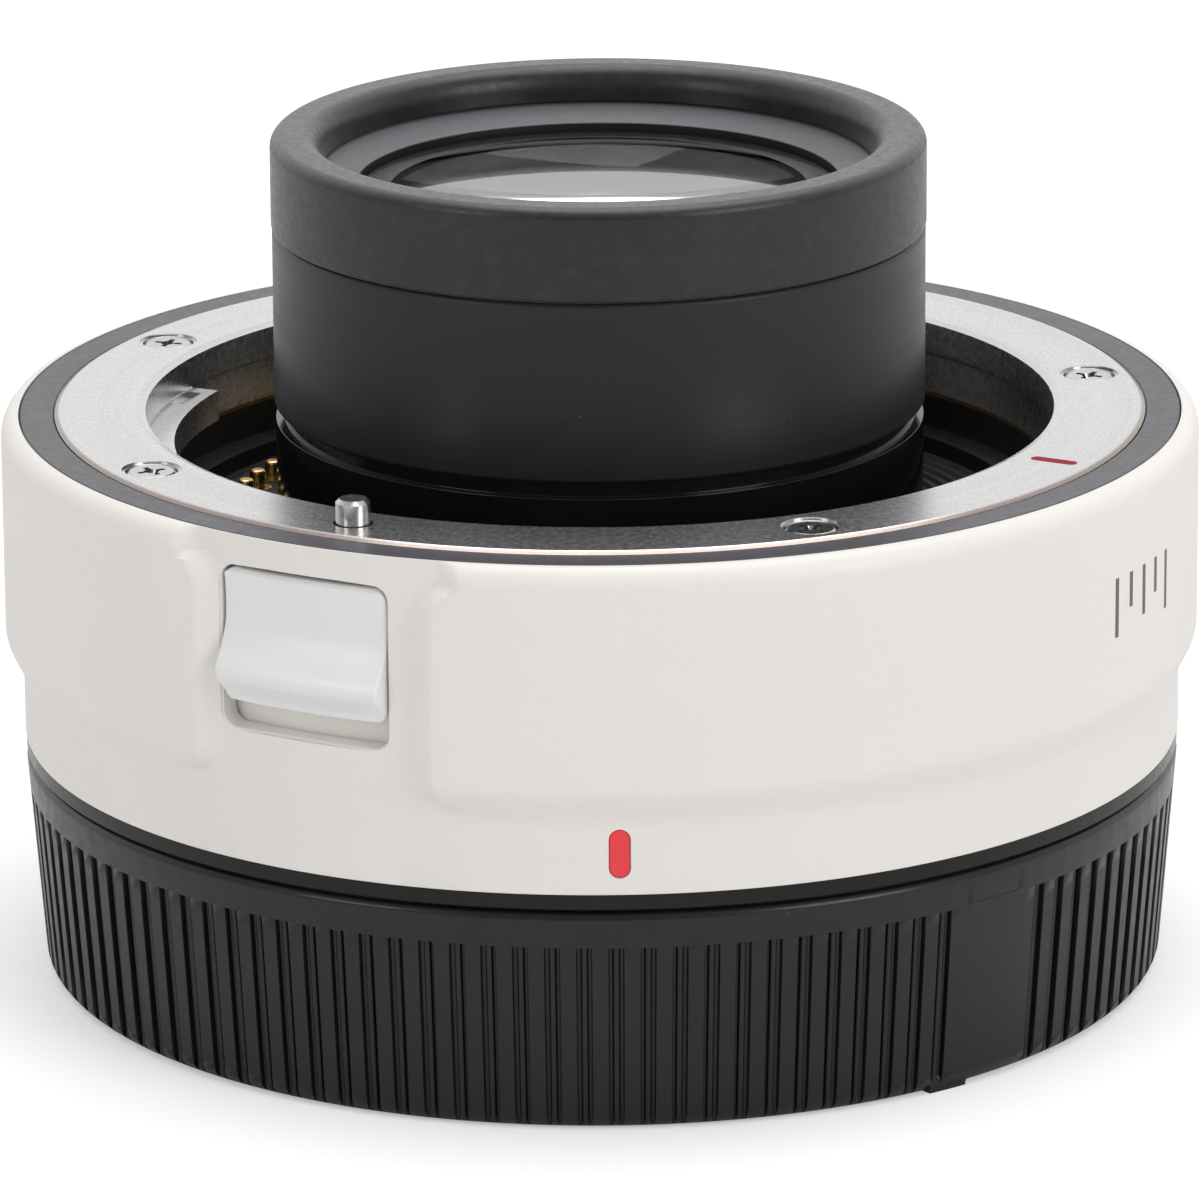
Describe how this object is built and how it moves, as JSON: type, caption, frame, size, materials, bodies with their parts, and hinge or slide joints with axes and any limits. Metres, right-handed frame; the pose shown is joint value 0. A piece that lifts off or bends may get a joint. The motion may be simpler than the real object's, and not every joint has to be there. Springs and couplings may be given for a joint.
{
  "type": "camera teleconverter",
  "caption": "Short white camera teleconverter with a protruding black lens nose, bayonet mounts at both ends, release slider and ribbed rear cap.",
  "frame": {"origin": "centre of the rear cap's flat bottom, on the optical axis", "axes": "+Z along the optical axis, from the camera side to the lens side; -Y is the side with the housing's red alignment mark"},
  "size_m": [0.0712, 0.0712, 0.0505],
  "materials": {
    "white_paint": "satin",
    "white_button": "satin",
    "mount_metal": "brushed",
    "steel": "machined",
    "spring_bronze": "satin",
    "black_plastic": "matte",
    "black_metal": "anodised satin",
    "satin_black": "anodised satin",
    "grey_ring": "satin",
    "rubber": "matte",
    "cap_plastic": "satin",
    "gold": "plated",
    "glass": "coated",
    "board": "satin",
    "red_paint": "satin"
  },
  "bodies": {
    "converter": {"outer_housing": "white_paint", "housing_index_mark": "red_paint", "front_trim_ring": "grey_ring", "main_chassis": "black_metal", "front_mount": "mount_metal", "mount_index_mark": "red_paint", "front_mount_screws": "steel", "bayonet_spring": "spring_bronze", "light_baffle": "black_plastic", "front_contact_block": "black_plastic", "contact_tubes": "gold", "lens_barrel": "black_metal", "barrel_clamp": "black_metal", "barrel_screws": "steel", "nose_sleeve": "satin_black", "front_rubber_ring": "rubber", "front_cone_ring": "grey_ring", "front_retaining_ring": "black_metal", "lens_1": "glass", "lens_2": "glass", "lens_3": "glass", "lens_4": "glass", "lens_5": "glass", "lens_6": "glass", "lens_7": "glass", "front_spacer": "black_metal", "rear_spacer": "black_metal", "rear_retaining_ring": "black_metal", "lock_pin_spring": "steel", "rear_mount": "mount_metal", "rear_mount_screws": "steel", "weather_seal": "rubber", "rear_contact_block": "black_plastic", "rear_contact_pads": "gold", "circuit_board": "board", "board_screws": "steel", "controller_chip": "black_plastic", "contact_cable": "spring_bronze", "rear_light_mask": "black_plastic"},
    "release_slider": {"release_slider": "white_button", "release_bracket": "steel"},
    "lock_pin": {"lock_pin": "steel"},
    "rear_cap": {"rear_cap": "cap_plastic"},
    "contact_pin_1": {"contact_pin_1": "gold"},
    "contact_pin_2": {"contact_pin_2": "gold"},
    "contact_pin_3": {"contact_pin_3": "gold"},
    "contact_pin_4": {"contact_pin_4": "gold"},
    "contact_pin_5": {"contact_pin_5": "gold"},
    "contact_pin_6": {"contact_pin_6": "gold"},
    "contact_pin_7": {"contact_pin_7": "gold"},
    "contact_pin_8": {"contact_pin_8": "gold"},
    "contact_pin_9": {"contact_pin_9": "gold"},
    "contact_pin_10": {"contact_pin_10": "gold"},
    "contact_pin_11": {"contact_pin_11": "gold"},
    "contact_pin_12": {"contact_pin_12": "gold"}
  },
  "joints": [
    {"name": "release_slide", "type": "slide", "parent": "converter", "child": "release_slider", "axis": [0, 0, -1], "range_m": [0, 0.00145], "stiffness_N_per_m": 600, "springref_m": -0.002},
    {"name": "lock_pin_slide", "type": "slide", "parent": "converter", "child": "lock_pin", "axis": [0, 0, -1], "range_m": [0, 0.00145], "stiffness_N_per_m": 600, "springref_m": -0.002, "deforming": ["lock_pin_spring"]},
    {"name": "rear_cap_turn", "type": "hinge", "parent": "converter", "child": "rear_cap", "pos_m": [0, 0, 0], "axis": [0, 0, 1], "range_deg": [-40.6, 0]},
    {"name": "contact_pin_1_press", "type": "slide", "parent": "converter", "child": "contact_pin_1", "axis": [0, 0, -1], "range_m": [0, 0.0006], "stiffness_N_per_m": 400, "springref_m": -0.0003},
    {"name": "contact_pin_2_press", "type": "slide", "parent": "converter", "child": "contact_pin_2", "axis": [0, 0, -1], "range_m": [0, 0.0006], "stiffness_N_per_m": 400, "springref_m": -0.0003},
    {"name": "contact_pin_3_press", "type": "slide", "parent": "converter", "child": "contact_pin_3", "axis": [0, 0, -1], "range_m": [0, 0.0006], "stiffness_N_per_m": 400, "springref_m": -0.0003},
    {"name": "contact_pin_4_press", "type": "slide", "parent": "converter", "child": "contact_pin_4", "axis": [0, 0, -1], "range_m": [0, 0.0006], "stiffness_N_per_m": 400, "springref_m": -0.0003},
    {"name": "contact_pin_5_press", "type": "slide", "parent": "converter", "child": "contact_pin_5", "axis": [0, 0, -1], "range_m": [0, 0.0006], "stiffness_N_per_m": 400, "springref_m": -0.0003},
    {"name": "contact_pin_6_press", "type": "slide", "parent": "converter", "child": "contact_pin_6", "axis": [0, 0, -1], "range_m": [0, 0.0006], "stiffness_N_per_m": 400, "springref_m": -0.0003},
    {"name": "contact_pin_7_press", "type": "slide", "parent": "converter", "child": "contact_pin_7", "axis": [0, 0, -1], "range_m": [0, 0.0006], "stiffness_N_per_m": 400, "springref_m": -0.0003},
    {"name": "contact_pin_8_press", "type": "slide", "parent": "converter", "child": "contact_pin_8", "axis": [0, 0, -1], "range_m": [0, 0.0006], "stiffness_N_per_m": 400, "springref_m": -0.0003},
    {"name": "contact_pin_9_press", "type": "slide", "parent": "converter", "child": "contact_pin_9", "axis": [0, 0, -1], "range_m": [0, 0.0006], "stiffness_N_per_m": 400, "springref_m": -0.0003},
    {"name": "contact_pin_10_press", "type": "slide", "parent": "converter", "child": "contact_pin_10", "axis": [0, 0, -1], "range_m": [0, 0.0006], "stiffness_N_per_m": 400, "springref_m": -0.0003},
    {"name": "contact_pin_11_press", "type": "slide", "parent": "converter", "child": "contact_pin_11", "axis": [0, 0, -1], "range_m": [0, 0.0006], "stiffness_N_per_m": 400, "springref_m": -0.0003},
    {"name": "contact_pin_12_press", "type": "slide", "parent": "converter", "child": "contact_pin_12", "axis": [0, 0, -1], "range_m": [0, 0.0006], "stiffness_N_per_m": 400, "springref_m": -0.0003}
  ],
  "couplings": [
    {"joint": "lock_pin_slide", "follows": "release_slide", "ratio": 1}
  ]
}
